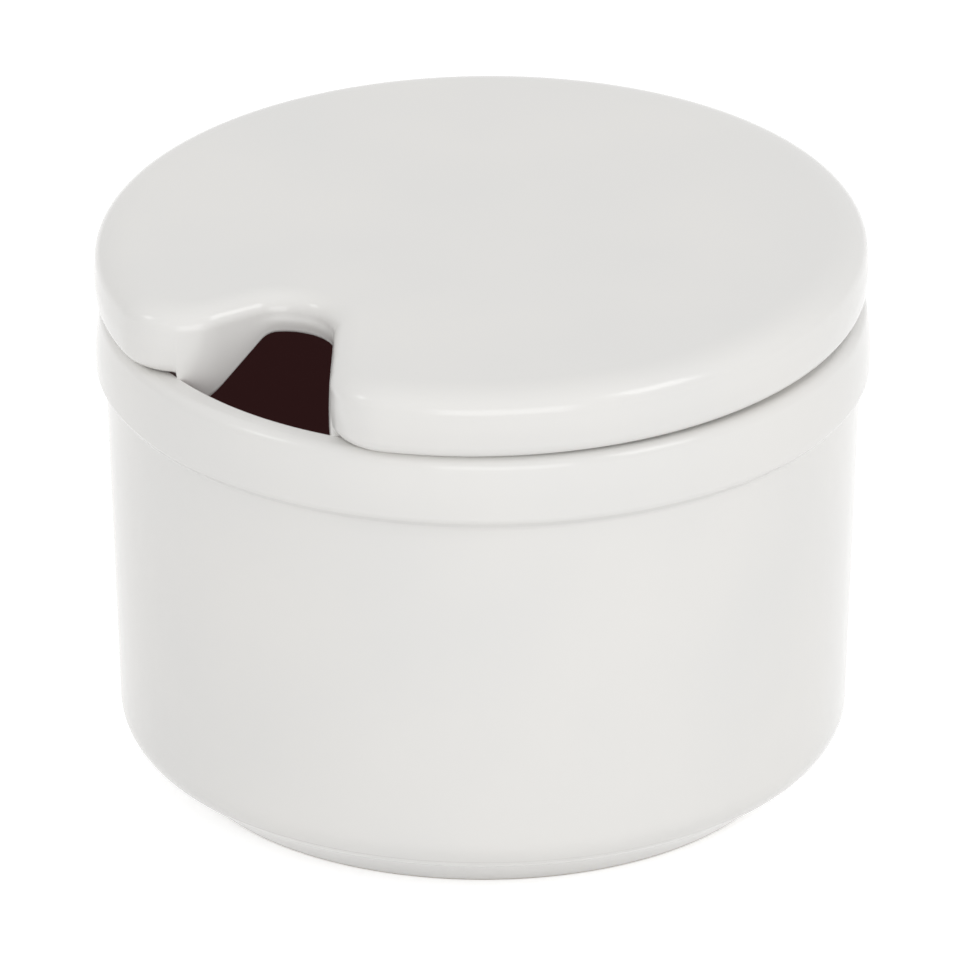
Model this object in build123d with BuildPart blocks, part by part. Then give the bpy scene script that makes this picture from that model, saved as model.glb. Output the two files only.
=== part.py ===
from build123d import *
import os

# Lidded table pot of glazed porcelain, with a spoon notch in its loose lid.
# All lengths are millimetres. The origin is on the table, on the pot's axis.
# The notch faces -Y and the lid lifts along +Z.

# Pot, outside
rim_radius = 46.0
pot_height = 59.2
band_height = 9.0
band_step = 1.15
band_swell_height = 4.4
band_top_draw_in = 0.6
band_swell_roundness = 22.0
band_lip_radius = 1.1
band_root_radius = 1.0
body_taper = 1.6
heel_radius = 5.2
heel_tuck = 0.4

# Foot ring
foot_height = 3.9
foot_inset = 3.3
foot_taper = 4.3
foot_land = 2.6
foot_inner_draft = 1.0

# Pot, inside
rim_thickness = 4.2
wall_thickness = 3.5
floor_thickness = 4.2
rim_outer_round = 1.5
rim_inner_bevel = 0.5
bowl_corner_radius = 8.0

# Lid
lid_reveal = 0.2
lid_thickness = 8.4
lid_plate_thickness = 6.1
lid_top_round = 2.9
lid_bottom_round = 1.9
flange_depth = 4.0
flange_thickness = 3.0
flange_clearance = 0.8
flange_edge_bevel = 0.6
flange_end_round = 1.2
flange_root = 0.6

# Spoon notch
notch_width = 19.0
notch_depth = 22.4
notch_end_round = 8.0
notch_mouth_round = 6.0
notch_under_round = 1.3
flange_setback = 2.0

# Sizes that follow from the ones above
body_top_radius = rim_radius - band_step
body_low_radius = body_top_radius - body_taper
foot_top_radius = body_low_radius - foot_inset
foot_ground_radius = foot_top_radius - foot_taper
foot_inner_radius = foot_ground_radius - foot_land
recess_radius = foot_inner_radius - foot_inner_draft
underside = foot_height - heel_tuck
band_bottom = pot_height - band_height
band_swell = pot_height - band_swell_height
floor_height = underside + floor_thickness
mouth_radius = rim_radius - rim_thickness
bowl_low_radius = body_low_radius - wall_thickness
lid_radius = rim_radius - lid_reveal
lid_top = pot_height + lid_thickness
flange_outer_radius = mouth_radius - flange_clearance
flange_inner_radius = flange_outer_radius - flange_thickness
flange_bottom = pot_height - flange_depth
notch_end = lid_radius - notch_depth
recess_ceiling = lid_top - lid_plate_thickness
seat_ring_top = lid_top - lid_top_round

os.makedirs("parts", exist_ok=True)


# Pot body: the section of the bowl and of its foot, turned about the axis
with BuildPart() as pot_body:
    with BuildSketch(Plane.XZ) as wall_section:
        with BuildLine() as bowl_line:
            FilletPolyline(
                (0, underside),
                (body_low_radius, underside),
                (body_top_radius, band_bottom),
                (rim_radius, band_bottom + band_step),
                (rim_radius, band_swell),
                (rim_radius - band_top_draw_in, pot_height),
                (mouth_radius, pot_height),
                (bowl_low_radius, floor_height),
                (0, floor_height),
                radius=[
                    heel_radius,
                    band_root_radius,
                    band_lip_radius,
                    band_swell_roundness,
                    rim_outer_round,
                    0,
                    bowl_corner_radius,
                ],
            )
            Line((0, floor_height), (0, underside))
        make_face()
        with BuildLine() as foot_line:
            Polyline(
                (recess_radius, underside),
                (foot_inner_radius, 0),
                (foot_ground_radius, 0),
                (foot_top_radius, foot_height),
                (foot_top_radius, floor_height),
                (recess_radius, floor_height),
                close=True,
            )
        make_face()
        mouth_corner = wall_section.vertices().sort_by_distance((mouth_radius, pot_height))[0]
        chamfer(mouth_corner, rim_inner_bevel)
    revolve(axis=Axis.Z)
pot_body.part.label = "pot_body"
export_step(pot_body.part, "parts/pot_body.step")


def notched_disc(height):
    """The lid's outline seen from above: a disc with the spoon notch cut into its front."""
    with BuildSketch(Plane.XY.offset(height)) as outline:
        Circle(lid_radius)
        with Locations((0, -notch_end)):
            Rectangle(notch_width, 2 * lid_radius, align=(Align.CENTER, Align.MAX), mode=Mode.SUBTRACT)
        end_corners = outline.vertices().group_by(Axis.Y)[-1]
        fillet(end_corners, notch_end_round)
        mouth_corners = outline.vertices().group_by(Axis.Y)[0]
        fillet(mouth_corners, notch_mouth_round)
    return outline.sketch


# Lid, upper layer: the plate that spans the mouth, thinner than the lid's edge
with BuildPart() as lid_plate:
    extrude(notched_disc(recess_ceiling), amount=lid_plate_thickness)
    fillet(lid_plate.faces().sort_by(Axis.Z)[-1].edges(), lid_top_round)
    fillet(lid_plate.faces().sort_by(Axis.Z)[0].edges(), notch_under_round)

# Lid, locating flange: a ring that hangs inside the mouth and stops short of the notch
with BuildPart() as lid_flange:
    with BuildSketch(Plane.XY.offset(flange_bottom)) as flange_ring:
        Circle(flange_outer_radius)
        Circle(flange_inner_radius, mode=Mode.SUBTRACT)
        Rectangle(
            notch_width + 2 * flange_setback,
            lid_radius,
            align=(Align.CENTER, Align.MAX),
            mode=Mode.SUBTRACT,
        )
        fillet(flange_ring.vertices(), flange_end_round)
    extrude(amount=flange_depth + flange_root)
    chamfer(lid_flange.faces().sort_by(Axis.Z)[0].edges(), flange_edge_bevel)

# Lid, whole: the seat ring that rests on the rim, joined to the plate and the flange
with BuildPart() as lid:
    extrude(notched_disc(pot_height), amount=seat_ring_top - pot_height)
    fillet(lid.faces().sort_by(Axis.Z)[0].edges(), lid_bottom_round)
    with BuildSketch(Plane.XY.offset(pot_height)):
        Circle(flange_inner_radius)
    extrude(amount=seat_ring_top - pot_height, mode=Mode.SUBTRACT)
    add(lid_plate.part)
    add(lid_flange.part)
lid.part.label = "lid"
export_step(lid.part, "parts/lid.step")
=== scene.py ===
"""Glazed condiment pot with a notched, lift-off lid, on a pale studio floor.

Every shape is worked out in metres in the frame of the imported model: z is up from the table, the
pot's axis is x = y = 0 and the lid's spoon notch faces -y.
"""

import math

import bpy
import numpy as np
from bpy.props import FloatProperty, FloatVectorProperty, IntProperty, PointerProperty
from bpy.types import Operator, Panel, PropertyGroup
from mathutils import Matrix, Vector


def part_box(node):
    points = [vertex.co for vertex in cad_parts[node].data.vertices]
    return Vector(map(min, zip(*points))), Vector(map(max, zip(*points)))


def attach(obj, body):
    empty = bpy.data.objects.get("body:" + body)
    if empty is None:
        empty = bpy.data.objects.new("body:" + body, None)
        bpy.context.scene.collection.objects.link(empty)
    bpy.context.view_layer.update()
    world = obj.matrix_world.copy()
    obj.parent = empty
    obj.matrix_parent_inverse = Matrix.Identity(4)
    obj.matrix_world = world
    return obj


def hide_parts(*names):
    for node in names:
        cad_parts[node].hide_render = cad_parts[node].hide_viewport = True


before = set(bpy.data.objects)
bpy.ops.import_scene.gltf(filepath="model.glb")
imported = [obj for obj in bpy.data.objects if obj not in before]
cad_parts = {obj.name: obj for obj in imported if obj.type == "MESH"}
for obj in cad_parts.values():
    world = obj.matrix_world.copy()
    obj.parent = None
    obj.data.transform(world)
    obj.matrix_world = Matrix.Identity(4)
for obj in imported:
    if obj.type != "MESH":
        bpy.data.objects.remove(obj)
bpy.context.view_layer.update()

bl_info = {
    "name": "Notched condiment pot",
    "version": (1, 0, 0),
    "blender": (4, 5, 0),
    "location": "View3D > Sidebar > Condiment Pot",
    "description": "Builds a glazed condiment pot with a notched lid and its studio",
    "category": "Object",
}

MM = 0.001

POT_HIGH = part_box("pot_body")[1]
LID_LOW, LID_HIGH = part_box("lid")
RIM_RADIUS = POT_HIGH.x
POT_HEIGHT = POT_HIGH.z
LID_RADIUS = LID_HIGH.x
LID_TOP = LID_HIGH.z
FLANGE_BOTTOM = LID_LOW.z

# Small sizes of the pot's section, from the recess under its foot round to the bowl. The heel's round
# is a share of the heel's radius.
RECESS_DRAFT = 1.0 * MM
RECESS_ROUND = 1.2 * MM
LAND_ROUND = 0.5 * MM
FOOT_TOP_ROUND = 0.3 * MM
HEEL_SHARE = 0.96
BAND_ROOT_ROUND = 1.0 * MM
BAND_LIP_ROUND = 1.1 * MM
BAND_SWELL_DROP = 4.4 * MM
BAND_SWELL_ROUND = 22 * MM
RIM_DRAW_IN = 0.6 * MM
RIM_OUTER_ROUND = 1.5 * MM
RIM_INNER_ROUND = 0.8 * MM
BOWL_ROUND = 8 * MM

# Where the wall's wobble grows from nothing to its full size, from the ground, the rim and the axis
WOBBLE_FROM_GROUND = (2 * MM, 14 * MM)
WOBBLE_FROM_RIM = (4 * MM, 16 * MM)
WOBBLE_FROM_AXIS = (0, 30 * MM)

# Small sizes of the lid's edge and underside. The edge's form blends from the round side's to the
# notch's between two distances in from the lid's circle, and the dish ends a margin inside it.
EDGE_POWER = 2.2
EDGE_SWELL = 0.12 * MM
EDGE_BLEND = (2.6 * MM, 9.0 * MM)
LEAST_SIDE = 0.05 * MM
DISH_MARGIN = 4 * MM
SLOPE_TOP_ROUND = 3.0 * MM
FLANGE_INNER_ROUND = 1.0 * MM
FLANGE_OUTER_ROUND = 0.6 * MM
FLANGE_ROOT_ROUND = 0.4 * MM
FLANGE_DRAFT = 0.2 * MM

# Fineness of the meshes: lengths and turns of their pieces, and counts of points and rows
WELD_GRID = 0.0005 * MM
LEAST_LENGTH = 0.001 * MM
ARC_TURN = 0.12
LEAST_ARC_PIECES = 4
POT_STEP = 1.0 * MM
UNDER_STEP = 1.2 * MM
TOP_STEP = 0.2 * MM
ARC_POINTS = 1200
ROUND_SIDE_POINTS = 4000
ROUND_ROWS = 17
SIDE_ROWS = 8
UNDER_ROWS = 11
TOP_ROWS = 44

# Finishes: the glaze's gloss and soft unevenness, and where the dark glaze and the bare clay begin
GLAZE_IOR = 1.52
GLAZE_ROUGHNESS = 0.16
CLAY_ROUGHNESS = 0.75
RIPPLE_STRENGTH = 0.06
RIPPLE_HEIGHT = 0.4 * MM
WAVE_SCALE = 45.0
SKIN_SCALE = 420.0
SKIN_SHARE = 0.12
POOLING_RANGE = (0.35, 0.65)
DARK_GLAZE_OVERLAP = 0.45 * MM
DARK_GLAZE_BLUR = 0.1 * MM
DARK_GLAZE_LOW = 5.5 * MM
CLAY_HEIGHTS = (0.15 * MM, 0.45 * MM)

# The studio's floor and plain colours, and the height on the pot's axis at which the lamps are aimed
FLOOR_RADIUS = 1.2
FLOOR_SECTORS = 96
FLOOR_COLOUR = (0.8, 0.8, 0.8, 1)
FLOOR_GLOW = 0.55
FLOOR_ROUGHNESS = 0.9
WHITE = (1, 1, 1, 1)
BLACK = (0, 0, 0, 1)
LAMP_AIM = 0.03


class PotSizes(PropertyGroup):
    """The pot body's sizes, as lengths in metres."""

    band_height: FloatProperty(
        name="Rim band height",
        description="Height of the rolled band under the rim",
        default=9.0 * MM,
        unit="LENGTH",
    )
    band_step: FloatProperty(
        name="Rim band step",
        description="How far the rim band stands out from the body",
        default=1.15 * MM,
        unit="LENGTH",
    )
    body_taper: FloatProperty(
        name="Body taper",
        description="How much narrower the body's radius is at its heel than under the band",
        default=1.6 * MM,
        unit="LENGTH",
    )
    heel_radius: FloatProperty(
        name="Heel radius",
        description="Radius of the round between the body's side and its underside",
        default=5.2 * MM,
        unit="LENGTH",
    )
    foot_height: FloatProperty(
        name="Foot height",
        description="Height of the foot ring where it meets the heel",
        default=3.9 * MM,
        unit="LENGTH",
    )
    heel_tuck: FloatProperty(
        name="Heel tuck",
        description="How far the pot's underside lies below the top of the foot ring",
        default=0.4 * MM,
        unit="LENGTH",
    )
    foot_inset: FloatProperty(
        name="Foot inset",
        description="How far the top of the foot ring stands in from the body's side",
        default=3.3 * MM,
        unit="LENGTH",
    )
    foot_taper: FloatProperty(
        name="Foot taper",
        description="How much narrower the foot ring's radius is on the ground than at its top",
        default=4.3 * MM,
        unit="LENGTH",
    )
    foot_land: FloatProperty(
        name="Foot land",
        description="Width of the unglazed ring that the pot stands on",
        default=2.6 * MM,
        unit="LENGTH",
    )
    rim_thickness: FloatProperty(
        name="Rim thickness",
        description="Thickness of the wall at the rim",
        default=4.2 * MM,
        unit="LENGTH",
    )
    wall_thickness: FloatProperty(
        name="Wall thickness",
        description="Thickness of the wall below the rim",
        default=3.5 * MM,
        unit="LENGTH",
    )
    floor_thickness: FloatProperty(
        name="Floor thickness",
        description="Thickness of the pot's floor",
        default=4.2 * MM,
        unit="LENGTH",
    )
    firing_wobble: FloatProperty(
        name="Firing wobble",
        description="How far the fired wall wanders from a true round",
        default=0.05 * MM,
        unit="LENGTH",
    )
    sectors: IntProperty(
        name="Sectors",
        description="Steps around the pot's axis",
        default=320,
        min=32,
    )


class LidSizes(PropertyGroup):
    """The lid's sizes, as lengths in metres."""

    plate_thickness: FloatProperty(
        name="Plate thickness",
        description="Thickness of the lid over the recess in its underside",
        default=5.0 * MM,
        unit="LENGTH",
    )
    top_round: FloatProperty(
        name="Top edge drop",
        description="Height of the round along the lid's top edge",
        default=2.97 * MM,
        unit="LENGTH",
    )
    top_shoulder: FloatProperty(
        name="Top edge run",
        description="How far in from the edge the top begins to fall away",
        default=4.55 * MM,
        unit="LENGTH",
    )
    bottom_round: FloatProperty(
        name="Bottom edge round",
        description="Radius of the round along the lid's lower edge",
        default=1.9 * MM,
        unit="LENGTH",
    )
    top_dish: FloatProperty(
        name="Top dish",
        description="How far the middle of the lid's top lies below its edge",
        default=0.25 * MM,
        unit="LENGTH",
    )
    notch_width: FloatProperty(
        name="Notch width",
        description="Clear width of the spoon notch",
        default=17.54 * MM,
        unit="LENGTH",
    )
    notch_depth: FloatProperty(
        name="Notch depth",
        description="How far the spoon notch reaches in from the lid's edge",
        default=18.6 * MM,
        unit="LENGTH",
    )
    notch_end_round: FloatProperty(
        name="Notch end round",
        description="Plan radius of the notch's round inner end",
        default=6.1 * MM,
        unit="LENGTH",
    )
    notch_mouth_round: FloatProperty(
        name="Notch mouth round",
        description="Plan radius of the two corners where the notch opens to the edge",
        default=8.0 * MM,
        unit="LENGTH",
    )
    notch_shift: FloatProperty(
        name="Notch shift",
        description="How far toward -x the middle of the notch's mouth lies",
        default=0.77 * MM,
        unit="LENGTH",
    )
    notch_skew: FloatProperty(
        name="Notch skew",
        description="How far the hand-cut notch drifts toward -x on its way in from the edge",
        default=1.83 * MM,
        unit="LENGTH",
    )
    notch_shoulder: FloatProperty(
        name="Notch edge run",
        description="How far in from the notch's wall the top begins to fall away",
        default=3.3 * MM,
        unit="LENGTH",
    )
    notch_top_round: FloatProperty(
        name="Notch edge drop",
        description="Height of the round along the notch's top edge",
        default=2.6 * MM,
        unit="LENGTH",
    )
    notch_under_round: FloatProperty(
        name="Notch lower round",
        description="Radius of the round along the notch's lower edge",
        default=0.7 * MM,
        unit="LENGTH",
    )
    recess_slope: FloatProperty(
        name="Recess slope",
        description="Width of the slope between the flange's foot and the recess above it",
        default=9.0 * MM,
        unit="LENGTH",
    )
    flange_clearance: FloatProperty(
        name="Flange clearance",
        description="Gap between the locating flange and the pot's mouth",
        default=0.8 * MM,
        unit="LENGTH",
    )
    flange_thickness: FloatProperty(
        name="Flange thickness",
        description="Thickness of the locating flange at its foot",
        default=1.5 * MM,
        unit="LENGTH",
    )
    lie_angle: FloatProperty(
        name="Lie angle",
        description="How crookedly the loose lid lies on the rim",
        default=math.radians(1.33),
        subtype="ANGLE",
    )
    lie_direction: FloatProperty(
        name="Lie direction",
        description="Direction, from the x axis, of the side that the lid's lie lifts",
        default=math.radians(99.5),
        subtype="ANGLE",
    )
    lie_slide: FloatProperty(
        name="Lie slide",
        description="How far the lid has slid away from its lifted side",
        default=0.35 * MM,
        unit="LENGTH",
    )
    side_points: IntProperty(
        name="Outline steps",
        description="Steps along the notch side of the outline, and as many along its round side",
        default=400,
        min=80,
    )


class GlazeColours(PropertyGroup):
    """Colours of the glazes and of the bare clay."""

    white_glaze: FloatVectorProperty(
        name="White glaze",
        description="Colour of the white glaze over the clay",
        default=(0.80, 0.792, 0.774),
        size=3,
        subtype="COLOR",
    )
    thin_glaze: FloatVectorProperty(
        name="Thin glaze",
        description="Colour where the glaze runs thin on edges",
        default=(0.82, 0.808, 0.785),
        size=3,
        subtype="COLOR",
    )
    inner_glaze: FloatVectorProperty(
        name="Inner glaze",
        description="Colour of the dark brown glaze inside the pot",
        default=(0.07, 0.028, 0.026),
        size=3,
        subtype="COLOR",
    )
    # Painted glow: a faint emission over the dark inner glaze that lifts its shade, though the pot
    # gives no light
    inner_painted_glow: FloatVectorProperty(
        name="Inner painted glow",
        description="Painted glow that lifts the shade of the dark inside",
        default=(0.019, 0.0072, 0.0072),
        size=3,
        subtype="COLOR",
    )
    bare_clay: FloatVectorProperty(
        name="Bare clay",
        description="Colour of the unglazed land under the foot",
        default=(0.66, 0.62, 0.56),
        size=3,
        subtype="COLOR",
    )


class StudioSettings(PropertyGroup):
    """Camera, lamps and floor."""

    camera_azimuth: FloatProperty(
        name="Camera azimuth",
        description="Turn of the camera to the right of the notch's own direction",
        default=math.radians(40.0),
        subtype="ANGLE",
    )
    camera_elevation: FloatProperty(
        name="Camera elevation",
        description="Height of the camera above level, as an angle",
        default=math.radians(24.93),
        subtype="ANGLE",
    )
    camera_distance: FloatProperty(
        name="Camera distance",
        description="Distance from the camera to the pot's axis",
        default=2.4,
        unit="LENGTH",
    )
    focal_length: FloatProperty(
        name="Focal length",
        description="Focal length in millimetres on a sensor 36 mm wide",
        default=756.0,
    )
    aim_height: FloatProperty(
        name="Aim height",
        description="Height on the pot's axis that the camera looks at",
        default=35.57 * MM,
        unit="LENGTH",
    )
    aim_side: FloatProperty(
        name="Aim offset",
        description="How far to the right of the pot's axis the camera looks",
        default=-0.40 * MM,
        unit="LENGTH",
    )
    world_light: FloatProperty(
        name="World light",
        description="Strength of the even light from all round",
        default=0.74,
    )


def chosen(name):
    """The scene's group of sizes, colours or settings of that name."""
    return getattr(bpy.context.scene, name)


def rounded_path(corners, radii, step):
    """Straight runs between corners, with each inner corner replaced by an arc that touches both runs.

    An arc of radius q round a corner that turns by the angle a starts q * tan(a / 2) before the
    corner. Runs and arcs are divided into pieces no longer than the step.
    """
    corners = np.asarray(corners, float)
    rows = [corners[:1]]
    for before, corner, after, radius in zip(corners, corners[1:], corners[2:], radii):
        incoming = (corner - before) / np.linalg.norm(corner - before)
        outgoing = (after - corner) / np.linalg.norm(after - corner)
        turn = math.atan2(np.cross(incoming, outgoing), incoming @ outgoing)
        reach = radius * math.tan(abs(turn) / 2)
        start = corner - incoming * reach
        side = np.array([-incoming[1], incoming[0]]) * math.copysign(1, turn)
        centre = start + side * radius
        count = max(LEAST_ARC_PIECES, int(abs(turn) * radius / step), int(abs(turn) / ARC_TURN))
        angle = np.linspace(0, turn, count + 1)[:, None]
        spoke = start - centre
        across = np.array([-spoke[1], spoke[0]])
        rows.append(centre + np.cos(angle) * spoke + np.sin(angle) * across)
    rows.append(corners[-1:])
    points = np.vstack(rows)
    length = np.linalg.norm(np.diff(points, axis=0), axis=1)
    pieces = [points[:1]]
    for start, end, run in zip(points, points[1:], length):
        count = max(1, math.ceil(run / step))
        share = np.linspace(0, 1, count + 1)[1:, None]
        pieces.append(start + share * (end - start))
    return np.vstack(pieces)


def smooth_step(value, low, high):
    """0 below low, 1 above high, and the cubic 3t^2 - 2t^3 between."""
    t = np.clip((value - low) / (high - low), 0, 1)
    return t * t * (3 - 2 * t)


def grid_faces(rows, columns, wrap=False):
    """Quads of a grid whose points are numbered by rows; wrap joins the last column to the first."""
    across = np.arange(columns if wrap else columns - 1)
    row, column = np.meshgrid(np.arange(rows - 1), across, indexing="ij")
    following = (column + 1) % columns
    corners = (row * columns + column, row * columns + following)
    above = ((row + 1) * columns + following, (row + 1) * columns + column)
    return np.stack([*corners, *above], axis=-1).reshape(-1, 4)


def closed_mesh(name, points, quads):
    """An object at the origin, with points that are equal welded and quads that collapse dropped."""
    keys = np.round(points / WELD_GRID).astype(np.int64)
    _, first, index = np.unique(keys, axis=0, return_index=True, return_inverse=True)
    quads = index.reshape(-1)[quads]
    distinct = quads != np.roll(quads, 1, axis=1)
    count = distinct.sum(axis=1)
    faces = quads[count == 4].tolist()
    triangles = quads[count == 3]
    faces += triangles[distinct[count == 3]].reshape(-1, 3).tolist()
    mesh = bpy.data.meshes.new(name)
    mesh.from_pydata(points[first], [], faces)
    mesh.polygons.foreach_set("use_smooth", np.ones(len(mesh.polygons), bool))
    mesh.update()
    piece = bpy.data.objects.new(name, mesh)
    bpy.context.scene.collection.objects.link(piece)
    return piece


def pot_section(pot):
    """The wall's section as radius and height, from the axis below the floor to the axis above it.

    The heel follows a circle whose centre lies its radius in from the side and up from the underside.
    The foot's top meets that circle at the angle below level whose cosine is 1 - inset / radius. The
    heel's round is a little smaller than the circle, to leave room for the round at the foot's top.
    """
    body_top = RIM_RADIUS - pot.band_step
    body_low = body_top - pot.body_taper
    foot_top = body_low - pot.foot_inset
    foot_outer = foot_top - pot.foot_taper
    foot_inner = foot_outer - pot.foot_land
    underside = pot.foot_height - pot.heel_tuck
    floor = underside + pot.floor_thickness
    mouth = RIM_RADIUS - pot.rim_thickness
    band_bottom = POT_HEIGHT - pot.band_height
    heel = pot.heel_radius
    lean = math.acos((foot_top - body_low + heel) / heel)
    rounded_corners = [
        ((0, underside), 0),
        ((foot_inner - RECESS_DRAFT, underside), RECESS_ROUND),
        ((foot_inner, 0), LAND_ROUND),
        ((foot_outer, 0), LAND_ROUND),
        ((foot_top, underside + heel * (1 - math.sin(lean))), FOOT_TOP_ROUND),
        ((body_low, underside + heel * (1 - math.tan(lean / 2))), HEEL_SHARE * heel),
        ((body_top, band_bottom), BAND_ROOT_ROUND),
        ((RIM_RADIUS, band_bottom + pot.band_step), BAND_LIP_ROUND),
        ((RIM_RADIUS, POT_HEIGHT - BAND_SWELL_DROP), BAND_SWELL_ROUND),
        ((RIM_RADIUS - RIM_DRAW_IN, POT_HEIGHT), RIM_OUTER_ROUND),
        ((mouth, POT_HEIGHT), RIM_INNER_ROUND),
        ((body_low - pot.wall_thickness, floor), BOWL_ROUND),
        ((0, floor), 0),
    ]
    corners, rounds = zip(*rounded_corners)
    return rounded_path(corners, rounds[1:-1], POT_STEP)


def pot_surface(pot):
    """The wall's section turned about the axis, with a slow wobble of its radius from the firing.

    A point of the section at radius r and height z stands at the angle a at the radius
    r + w * (cos(2a + 0.6) + 0.5 cos(3a + 2.1) * z/h + 0.3 cos(5a + 4)) * f, where f fades the wobble
    out at the rim, the foot and the axis.
    """
    section = pot_section(pot)
    radius, height = section[:, :1], section[:, 1:]
    angle = np.linspace(0, 2 * math.pi, pot.sectors, endpoint=False)[None, :]
    wave = np.cos(2 * angle + 0.6) + 0.3 * np.cos(5 * angle + 4)
    wave = wave + 0.5 * np.cos(3 * angle + 2.1) * height / POT_HEIGHT
    fade = smooth_step(height, *WOBBLE_FROM_GROUND)
    fade = fade * smooth_step(POT_HEIGHT - height, *WOBBLE_FROM_RIM)
    fade = fade * smooth_step(radius, *WOBBLE_FROM_AXIS)
    turned = radius + pot.firing_wobble * wave * fade
    level = np.broadcast_to(height, turned.shape)
    points = np.stack([turned * np.cos(angle), turned * np.sin(angle), level], axis=-1)
    quads = grid_faces(len(section), pot.sectors, wrap=True)
    return closed_mesh("pot_body_glazed", points.reshape(-1, 3), quads)


def places_along(points, share):
    """Places at the given shares of a polyline's length, and the unit normals to its right there."""
    length = np.concatenate([[0], np.cumsum(np.linalg.norm(np.diff(points, axis=0), axis=1))])
    at = share * length[-1]
    place = np.stack([np.interp(at, length, points[:, k]) for k in range(2)], axis=1)
    tangent = np.gradient(place, axis=0)
    tangent /= np.linalg.norm(tangent, axis=1, keepdims=True)
    return place, np.stack([tangent[:, 1], -tangent[:, 0]], axis=1)


def arc(centre, radius, start, end, count=ARC_POINTS):
    """Points on an arc between two angles in radians."""
    angle = np.linspace(start, end, count)
    across = centre[0] + radius * np.cos(angle)
    return np.stack([across, centre[1] + radius * np.sin(angle)], axis=1)


def outline_half(lid, side):
    """One half of the outline, from its corner's tip to the notch's end and to the lid's back.

    It is worked out as if on the right and mirrored for side = -1. The mouth's corner arc of radius q
    touches the lid's circle of radius R from inside, so its centre lies at the distance R - q from
    the axis. A straight wall touches that arc and, on its other side, the notch's round end of radius
    e: the wall's normal makes the angle acos((q + e) / D) with the line of length D between the two
    centres.
    """
    mouth, end = lid.notch_mouth_round, lid.notch_end_round
    aside = lid.notch_width / 2 + mouth - side * lid.notch_shift
    centre = np.array([aside, -math.sqrt((LID_RADIUS - mouth) ** 2 - aside**2)])
    drift = side * (lid.notch_shift + lid.notch_skew)
    deep = np.array([-drift, lid.notch_depth - LID_RADIUS - end])
    line = deep - centre
    facing = math.atan2(line[1], line[0]) - 2 * math.pi
    facing += math.acos((mouth + end) / np.linalg.norm(line))
    toward = math.atan2(centre[1], centre[0])
    tip = (facing + toward) / 2
    mouth_corner = arc(centre, mouth, tip, facing)
    wall = np.vstack([mouth_corner, arc(deep, end, facing + math.pi, math.pi / 2)])
    rim_corner = arc(centre, mouth, tip, toward)
    round_side = arc((0, 0), LID_RADIUS, toward, math.pi / 2, ROUND_SIDE_POINTS)
    mirror = np.array([side, 1])
    return wall * mirror, np.vstack([rim_corner, round_side]) * mirror


def lid_outline(lid):
    """The outline seen from above, as its notch side and its round side, with their outward normals.

    Both run from the right corner's tip to the left corner's tip. The notch side has even steps, and
    the round side has as many. At the share v of the steps from a tip to the lid's back, they have
    covered c v + (1 - c) v^2 of the way, where c is the notch side's length over the round side's, so
    they start as long as the notch's steps and grow toward the back.
    """
    right_wall, right_rim = outline_half(lid, 1)
    left_wall, left_rim = outline_half(lid, -1)
    sides = [np.vstack([right_wall, left_wall[::-1][1:]]), np.vstack([right_rim, left_rim[::-1][1:]])]
    lengths = [np.linalg.norm(np.diff(side, axis=0), axis=1).sum() for side in sides]
    ratio = lengths[0] / lengths[1]
    even = np.linspace(0, 1, lid.side_points + 1)
    from_tip = np.minimum(even, 1 - even) * 2
    half_way = 0.5 * (ratio * from_tip + (1 - ratio) * from_tip**2)
    growing = np.where(even <= 0.5, half_way, 1 - half_way)
    notch, notch_right = places_along(sides[0], even)
    outer, outer_out = places_along(sides[1], growing)
    return notch, -notch_right, outer, outer_out


def lid_top_height(lid, plan):
    """Height of the lid's top before its edge falls away: a shallow dish, deepest on the axis."""
    radius = np.linalg.norm(plan, axis=-1)
    return LID_TOP - lid.top_dish * (1 - smooth_step(radius, 0, LID_RADIUS - DISH_MARGIN))


def under_profile(lid):
    """The underside's section as radius and height: recess, slope, locating flange and seat ring."""
    mouth = RIM_RADIUS - chosen("pot_sizes").rim_thickness
    outer = mouth - lid.flange_clearance
    inner = outer - lid.flange_thickness
    recess = LID_TOP - lid.plate_thickness
    corners = [
        (0, recess),
        (inner - lid.recess_slope, recess),
        (inner, FLANGE_BOTTOM),
        (outer, FLANGE_BOTTOM),
        (outer + FLANGE_DRAFT, POT_HEIGHT),
        (LID_RADIUS, POT_HEIGHT),
    ]
    radii = [SLOPE_TOP_ROUND, FLANGE_INNER_ROUND, FLANGE_OUTER_ROUND, FLANGE_ROOT_ROUND]
    return rounded_path(corners, radii, UNDER_STEP)


def lid_under_height(lid, plan):
    """Height of the underside over a place, read from the section at that distance from the axis."""
    radius, height = under_profile(lid).T
    return np.interp(np.linalg.norm(plan, axis=-1), radius, height)


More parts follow.
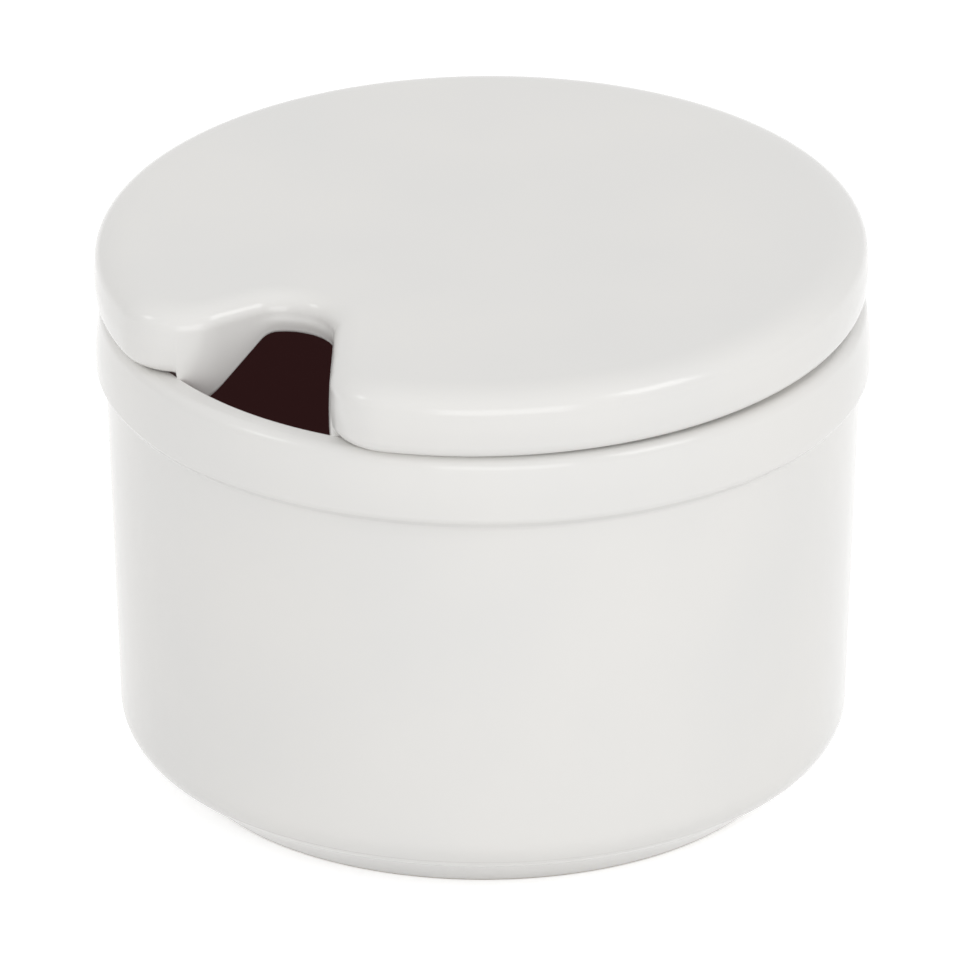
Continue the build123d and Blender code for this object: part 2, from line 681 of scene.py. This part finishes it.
def edge_rows(lid, outline, outward):
    """The lid's edge: rows from the top, over the round, down the side and under, to the underside.

    At the distance d in from the outline, the top falls by b * (1 - (1 - (1 - d/a)^n)^(1/n)), a
    superellipse of the run a and the drop b, and the lower round is a quarter circle. The side between
    them swells by a little sine. Run, drop and lower round change smoothly from the round side's
    values to the notch's, with the outline's distance in from the lid's circle.
    """
    theta = np.linspace(0, math.pi / 2, ROUND_ROWS)
    within = smooth_step(LID_RADIUS - np.linalg.norm(outline, axis=1), *EDGE_BLEND)
    shoulder = lid.top_shoulder + within * (lid.notch_shoulder - lid.top_shoulder)
    top_round = lid.top_round + within * (lid.notch_top_round - lid.top_round)
    under_round = lid.bottom_round + within * (lid.notch_under_round - lid.bottom_round)
    across = 1 - np.sin(theta) ** (2 / EDGE_POWER)
    down = 1 - np.cos(theta) ** (2 / EDGE_POWER)
    rows = []
    for inward, fall in zip(across, down):
        plan = outline - (inward * shoulder)[:, None] * outward
        rows.append(np.column_stack([plan, lid_top_height(lid, plan) - fall * top_round]))
    top_of_side = rows[-1][:, 2]
    under = lid_under_height(lid, outline - under_round[:, None] * outward)
    foot_of_side = np.minimum(under + under_round, top_of_side - LEAST_SIDE)
    for share in np.linspace(0, 1, SIDE_ROWS)[1:-1]:
        plan = outline + EDGE_SWELL * math.sin(math.pi * share) * outward
        rows.append(np.column_stack([plan, top_of_side + share * (foot_of_side - top_of_side)]))
    for angle in np.linspace(0, math.pi / 2, UNDER_ROWS):
        plan = outline - (under_round * (1 - math.cos(angle)))[:, None] * outward
        height = foot_of_side - (foot_of_side - under) * math.sin(angle)
        rows.append(np.column_stack([plan, height]))
    return np.stack(rows)


def crooked(lid, points):
    """The lid's points turned about the horizontal line where it rests, and slid a little toward it.

    The line touches the outside of the seat, opposite to the lifted side. A point at the distance s
    from the line and the height h over the rim goes to s cos(t) - h sin(t) and s sin(t) + h cos(t).
    """
    lifted = np.array([math.cos(lid.lie_direction), math.sin(lid.lie_direction)])
    reach = LID_RADIUS - lid.bottom_round
    span = points[:, :2] @ lifted + reach
    height = points[:, 2] - POT_HEIGHT
    turned = span * math.cos(lid.lie_angle) - height * math.sin(lid.lie_angle)
    raised = span * math.sin(lid.lie_angle) + height * math.cos(lid.lie_angle)
    moved = points[:, :2] + (turned - span - lid.lie_slide)[:, None] * lifted
    return np.column_stack([moved, POT_HEIGHT + raised])


def ruled_sheet(near, far, share, height):
    """Rows of points on straight lines from each near place to its far place, at the given shares.

    The lines lie in plan, and the height is a function of the place.
    """
    plan = near[None] + share[:, :, None] * (far - near)[None]
    return np.concatenate([plan, height(plan)[..., None]], axis=-1)


def crowded_shares(near, far):
    """Shares of each line that crowd toward both its ends, as 0.5 - 0.5 cos(pi t) for even t.

    Each is rounded to one of the even steps that divide its line, so that next to the corners' tips,
    where the lines are short, equal places are welded and no slivers are left.
    """
    even = np.linspace(0, 1, TOP_ROWS)[:, None]
    steps = np.floor(np.linalg.norm(far - near, axis=1) / TOP_STEP) + 1
    return np.round((0.5 - 0.5 * np.cos(math.pi * even)) * steps) / steps


def circle_crossings(near, far, radii):
    """Shares of each line, from near to far, at which it crosses circles about the axis.

    The radii grow. A line that starts outside a circle dips into it and comes out again, at the two
    roots of the quadratic |near + s (far - near)|^2 = radius^2. Roots off the line move to its nearest
    end, and a missed circle gives the line's nearest place to the axis twice. A line of no length
    counts as one of the least length.
    """
    span = far - near
    size = (span**2).sum(axis=1) + LEAST_LENGTH**2
    along = (near * span).sum(axis=1)
    outside = (near**2).sum(axis=1) - np.asarray(radii)[:, None] ** 2
    root = np.sqrt(np.maximum(along**2 - size * outside, 0))
    start, end = np.zeros((1, len(size))), np.ones((1, len(size)))
    crossings = [start, (-root - along)[::-1] / size, (root - along) / size, end]
    return np.clip(np.vstack(crossings), 0, 1)


def lid_plate(lid):
    """The lid's plate as one closed surface: an edge carried along the outline, and two ruled sheets.

    Each sheet runs from the notch side of the outline to its round side, so its lines fan out from
    the notch like ribs. The upper sheet's rows crowd toward both sides. The lower sheet's lie on
    circles about the axis, so that the flange's faces are true.
    """
    notch, notch_out, outer, outer_out = lid_outline(lid)
    outline = np.vstack([notch, outer[-2:0:-1]])
    # At the corners' tips the edge faces halfway between its two sides.
    notch_out[[0, -1]] += outer_out[[0, -1]]
    outward = np.vstack([notch_out, outer_out[-2:0:-1]])
    outward /= np.linalg.norm(outward, axis=1, keepdims=True)
    edge = edge_rows(lid, outline, outward)

    # Each rib joins a point of the notch side to the point at the same step of the round side.
    count = lid.side_points + 1
    back = np.concatenate([[0], np.arange(len(outline) - 1, count - 2, -1)])
    near, far = edge[0][:count, :2], edge[0][back, :2]
    shares = crowded_shares(near, far)
    top = ruled_sheet(near, far, shares, lambda plan: lid_top_height(lid, plan))
    near, far = edge[-1][:count, :2], edge[-1][back, :2]
    shares = circle_crossings(near, far, under_profile(lid)[1:-1, 0])
    under = ruled_sheet(near, far, shares, lambda plan: lid_under_height(lid, plan))

    points = [grid.reshape(-1, 3) for grid in (edge, top, under)]
    quads = [
        grid_faces(len(edge), len(outline), wrap=True),
        grid_faces(len(top), count)[:, ::-1] + len(points[0]),
        grid_faces(len(under), count) + len(points[0]) + len(points[1]),
    ]
    return closed_mesh("lid_glazed", crooked(lid, np.vstack(points)), np.vstack(quads))


def shader_group(name, inputs, outputs):
    """A new shader node group with named sockets, and its input and output nodes."""
    group = bpy.data.node_groups.new(name, "ShaderNodeTree")
    for label, kind, default in inputs:
        socket = group.interface.new_socket(label, in_out="INPUT", socket_type=kind)
        socket.default_value = default
    for label, kind in outputs:
        group.interface.new_socket(label, in_out="OUTPUT", socket_type=kind)
    return group, group.nodes.new("NodeGroupInput"), group.nodes.new("NodeGroupOutput")


def add_node(tree, kind, inputs=(), **settings):
    """A node with its settings, and values or links for its named or numbered inputs."""
    node = tree.nodes.new(kind)
    for key, value in settings.items():
        setattr(node, key, value)
    for key, value in dict(inputs).items():
        if isinstance(value, bpy.types.NodeSocket):
            tree.links.new(value, node.inputs[key])
        else:
            node.inputs[key].default_value = value
    return node


def map_range(tree, value, source=(0.0, 1.0), target=(0.0, 1.0)):
    """The value carried from the source range to the target range, and held within it."""
    inputs = {"Value": value, "From Min": source[0], "From Max": source[1]}
    inputs |= {"To Min": target[0], "To Max": target[1]}
    return add_node(tree, "ShaderNodeMapRange", inputs).outputs[0]


def reckon(tree, operation, first, second):
    """The result of one operation on two values or links."""
    return add_node(tree, "ShaderNodeMath", {0: first, 1: second}, operation=operation).outputs[0]


def mix_colours(tree, share, first, second):
    """The first colour where the share is 0, and the second where it is 1."""
    inputs = {0: share, 6: first, 7: second}
    return add_node(tree, "ShaderNodeMix", inputs, data_type="RGBA").outputs[2]


def glaze_ripple_group():
    """Height and pooling of a poured glaze: broad soft waves, and a finer orange skin on the height."""
    name = "Glaze ripple"
    if name in bpy.data.node_groups:
        return bpy.data.node_groups[name]
    group, start, end = shader_group(
        name,
        [("Wave scale", "NodeSocketFloat", WAVE_SCALE), ("Skin scale", "NodeSocketFloat", SKIN_SCALE)],
        [("Height", "NodeSocketFloat"), ("Pooling", "NodeSocketFloat")],
    )
    place = add_node(group, "ShaderNodeTexCoord").outputs["Object"]
    wave_inputs = {"Scale": start.outputs["Wave scale"], "Detail": 2.0, "Roughness": 0.4}
    skin_inputs = {"Scale": start.outputs["Skin scale"], "Detail": 1.0, "Roughness": 0.4}
    wave = add_node(group, "ShaderNodeTexNoise", {"Vector": place, **wave_inputs}).outputs[0]
    skin = add_node(group, "ShaderNodeTexNoise", {"Vector": place, **skin_inputs}).outputs[0]
    fine = reckon(group, "MULTIPLY", skin, SKIN_SHARE)
    group.links.new(reckon(group, "ADD", wave, fine), end.inputs["Height"])
    group.links.new(wave, end.inputs["Pooling"])
    return group


def white_glaze(tree, colours):
    """The ripple's node in the material's tree, and the white glaze that it mixes: pooled and thin."""
    scales = {"Wave scale": WAVE_SCALE, "Skin scale": SKIN_SCALE}
    ripple = add_node(tree, "ShaderNodeGroup", scales, node_tree=glaze_ripple_group())
    pool = map_range(tree, ripple.outputs["Pooling"], POOLING_RANGE)
    thick, thin = (*colours.white_glaze, 1), (*colours.thin_glaze, 1)
    return ripple, mix_colours(tree, pool, thick, thin)


def new_material(name):
    """A node material with an empty tree, its output node and a Principled BSDF joined to it."""
    material = bpy.data.materials.new(name)
    material.use_nodes = True
    tree = material.node_tree
    tree.nodes.clear()
    shader = add_node(tree, "ShaderNodeBsdfPrincipled")
    output = add_node(tree, "ShaderNodeOutputMaterial", {"Surface": shader.outputs[0]})
    output.is_active_output = True
    return material, tree, shader


def set_gloss(tree, shader, ripple):
    """Glossy glaze: low roughness, and a bump of the ripple's height."""
    shader.inputs["IOR"].default_value = GLAZE_IOR
    shader.inputs["Roughness"].default_value = GLAZE_ROUGHNESS
    height = ripple.outputs["Height"]
    inputs = {"Strength": RIPPLE_STRENGTH, "Distance": RIPPLE_HEIGHT, "Height": height}
    bump = add_node(tree, "ShaderNodeBump", inputs)
    tree.links.new(bump.outputs[0], shader.inputs["Normal"])


def pot_material(colours, pot):
    """White glaze outside, dark glaze inside the mouth with a painted glow that lifts its shade, and
    bare clay on the foot's land.
    """
    material, tree, shader = new_material("pot_glaze")
    ripple, white = white_glaze(tree, colours)
    place = add_node(tree, "ShaderNodeTexCoord").outputs["Object"]
    split = add_node(tree, "ShaderNodeSeparateXYZ", {0: place}).outputs
    flat = add_node(tree, "ShaderNodeCombineXYZ", {"X": split["X"], "Y": split["Y"]}).outputs[0]
    from_axis = add_node(tree, "ShaderNodeVectorMath", {0: flat}, operation="LENGTH")
    border = RIM_RADIUS - pot.rim_thickness + DARK_GLAZE_OVERLAP
    blur = (border - DARK_GLAZE_BLUR, border + DARK_GLAZE_BLUR)
    within = map_range(tree, from_axis.outputs["Value"], blur, (1.0, 0.0))
    above = reckon(tree, "GREATER_THAN", split["Z"], DARK_GLAZE_LOW)
    inside = reckon(tree, "MULTIPLY", within, above)
    glazed = mix_colours(tree, inside, white, (*colours.inner_glaze, 1))
    land = map_range(tree, split["Z"], CLAY_HEIGHTS, (1.0, 0.0))
    body = mix_colours(tree, land, glazed, (*colours.bare_clay, 1))
    tree.links.new(body, shader.inputs["Base Color"])
    set_gloss(tree, shader, ripple)
    # Painted glow: the dark inside emits a faint light of its own, which stands in for light in its
    # shade
    painted_glow = mix_colours(tree, inside, BLACK, (*colours.inner_painted_glow, 1))
    tree.links.new(painted_glow, shader.inputs["Emission Color"])
    shader.inputs["Emission Strength"].default_value = 1.0
    rough = map_range(tree, land, target=(GLAZE_ROUGHNESS, CLAY_ROUGHNESS))
    tree.links.new(rough, shader.inputs["Roughness"])
    return material


def lid_material(colours):
    """White glaze all over."""
    material, tree, shader = new_material("lid_glaze")
    ripple, white = white_glaze(tree, colours)
    tree.links.new(white, shader.inputs["Base Color"])
    set_gloss(tree, shader, ripple)
    return material


def give(piece, material, body, node):
    """The piece takes its material, rides on its body, and stands for its CAD node."""
    piece.data.materials.append(material)
    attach(piece, body)
    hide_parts(node)


class POT_OT_body(Operator):
    """Builds the pot body with its glaze"""

    bl_idname = "condiment_pot.body"
    bl_label = "Pot body"

    def execute(self, context):
        pot = chosen("pot_sizes")
        piece = pot_surface(pot)
        give(piece, pot_material(chosen("glaze_colours"), pot), "pot", "pot_body")
        return {"FINISHED"}


class POT_OT_lid(Operator):
    """Builds the notched lid with its locating flange"""

    bl_idname = "condiment_pot.lid"
    bl_label = "Lid"

    def execute(self, context):
        lid = chosen("lid_sizes")
        material = lid_material(chosen("glaze_colours"))
        give(lid_plate(lid), material, "lid", "lid")
        return {"FINISHED"}


def direction(azimuth, rise):
    """The unit vector at an azimuth to the right of the notch and at an angle above level."""
    level = math.cos(rise)
    return Vector((math.sin(azimuth) * level, -math.cos(azimuth) * level, math.sin(rise)))


def put_facing(name, data, place, away):
    """An object at the place, which looks or shines against the direction away from its target."""
    thing = bpy.data.objects.new(name, data)
    thing.location = place
    thing.rotation_euler = (-away).to_track_quat("-Z", "Y").to_euler()
    bpy.context.scene.collection.objects.link(thing)
    return thing


def add_camera(studio):
    """A long lens that looks down at the pot from the notch's right."""
    azimuth = studio.camera_azimuth
    right = Vector((math.cos(azimuth), math.sin(azimuth), 0))
    target = right * studio.aim_side + Vector((0, 0, studio.aim_height))
    away = direction(azimuth, studio.camera_elevation)
    data = bpy.data.cameras.new("pot_camera")
    data.lens = studio.focal_length
    data.clip_start = 0.05
    data.clip_end = 20
    place = target + away * studio.camera_distance
    bpy.context.scene.camera = put_facing("pot_camera", data, place, away)


def add_lamp(name, azimuth, rise, distance, size, power):
    """A square area lamp that shines at the pot from a direction given in degrees."""
    away = direction(math.radians(azimuth), math.radians(rise)) * distance
    data = bpy.data.lights.new(name, "AREA")
    data.shape = "SQUARE"
    data.size = size
    data.energy = power
    put_facing(name, data, away + Vector((0, 0, LAMP_AIM)), away)


def seen_directly(tree):
    """1 for camera, mirror and glass rays, and 0 for the light that falls on the pot."""
    path = add_node(tree, "ShaderNodeLightPath").outputs
    straight = reckon(tree, "MAXIMUM", path["Is Camera Ray"], path["Is Transmission Ray"])
    return reckon(tree, "MAXIMUM", straight, path["Is Glossy Ray"])


def add_world(studio):
    """Even pale light all round, and plain white where the camera sees past the floor."""
    world = bpy.data.worlds.new("studio_world")
    world.use_nodes = True
    tree = world.node_tree
    tree.nodes.clear()
    strength = map_range(tree, seen_directly(tree), target=(studio.world_light, 1.0))
    light = add_node(tree, "ShaderNodeBackground", {"Color": WHITE, "Strength": strength})
    add_node(tree, "ShaderNodeOutputWorld", {"Surface": light.outputs[0]})
    bpy.context.scene.world = world


def add_floor():
    """A round pale floor, level at z = 0, with a glow that only the camera and mirrors see."""
    angle = np.linspace(0, 2 * math.pi, FLOOR_SECTORS, endpoint=False)
    ring = np.stack([FLOOR_RADIUS * np.cos(angle), FLOOR_RADIUS * np.sin(angle), 0 * angle], axis=1)
    mesh = bpy.data.meshes.new("studio_floor")
    mesh.from_pydata(ring, [], [list(range(FLOOR_SECTORS))])
    floor = bpy.data.objects.new("studio_floor", mesh)
    bpy.context.scene.collection.objects.link(floor)
    material, tree, shader = new_material("floor_paint")
    glow = map_range(tree, seen_directly(tree), target=(0.0, FLOOR_GLOW))
    shader.inputs["Base Color"].default_value = FLOOR_COLOUR
    shader.inputs["Emission Color"].default_value = WHITE
    tree.links.new(glow, shader.inputs["Emission Strength"])
    shader.inputs["Roughness"].default_value = FLOOR_ROUGHNESS
    mesh.materials.append(material)


class POT_OT_studio(Operator):
    """Builds the floor, the lamps, the world and the camera"""

    bl_idname = "condiment_pot.studio"
    bl_label = "Studio"

    def execute(self, context):
        studio = chosen("studio_settings")
        add_floor()
        add_world(studio)
        add_lamp("front_softbox", azimuth=46, rise=9, distance=1.6, size=1.1, power=6.4)
        add_lamp("right_softbox", azimuth=97, rise=40, distance=1.4, size=0.5, power=2.2)
        add_lamp("left_softbox", azimuth=-36, rise=40, distance=1.4, size=0.3, power=0.7)
        add_camera(studio)
        context.scene.view_settings.view_transform = "Standard"
        return {"FINISHED"}


class POT_PT_panel(Panel):
    """Lists the pieces of the condiment pot and their sizes"""

    bl_label = "Condiment Pot"
    bl_idname = "POT_PT_panel"
    bl_space_type = "VIEW_3D"
    bl_region_type = "UI"
    bl_category = "Condiment Pot"

    def draw(self, context):
        for operator in (POT_OT_body, POT_OT_lid, POT_OT_studio):
            self.layout.operator(operator.bl_idname)
        for name, group in GROUPS.items():
            box = self.layout.box()
            for field in group.__annotations__:
                box.prop(getattr(context.scene, name), field)


GROUPS = {
    "pot_sizes": PotSizes,
    "lid_sizes": LidSizes,
    "glaze_colours": GlazeColours,
    "studio_settings": StudioSettings,
}
CLASSES = (*GROUPS.values(), POT_OT_body, POT_OT_lid, POT_OT_studio, POT_PT_panel)


def register():
    """Registers the classes and gives the scene its settings."""
    for cls in CLASSES:
        bpy.utils.register_class(cls)
    for name, group in GROUPS.items():
        setattr(bpy.types.Scene, name, PointerProperty(type=group))


def unregister():
    """Takes the settings and the classes away again."""
    for name in GROUPS:
        delattr(bpy.types.Scene, name)
    for cls in reversed(CLASSES):
        bpy.utils.unregister_class(cls)


def main():
    """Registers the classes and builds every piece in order."""
    register()
    bpy.ops.condiment_pot.body()
    bpy.ops.condiment_pot.lid()
    bpy.ops.condiment_pot.studio()


if __name__ == "__main__":
    main()
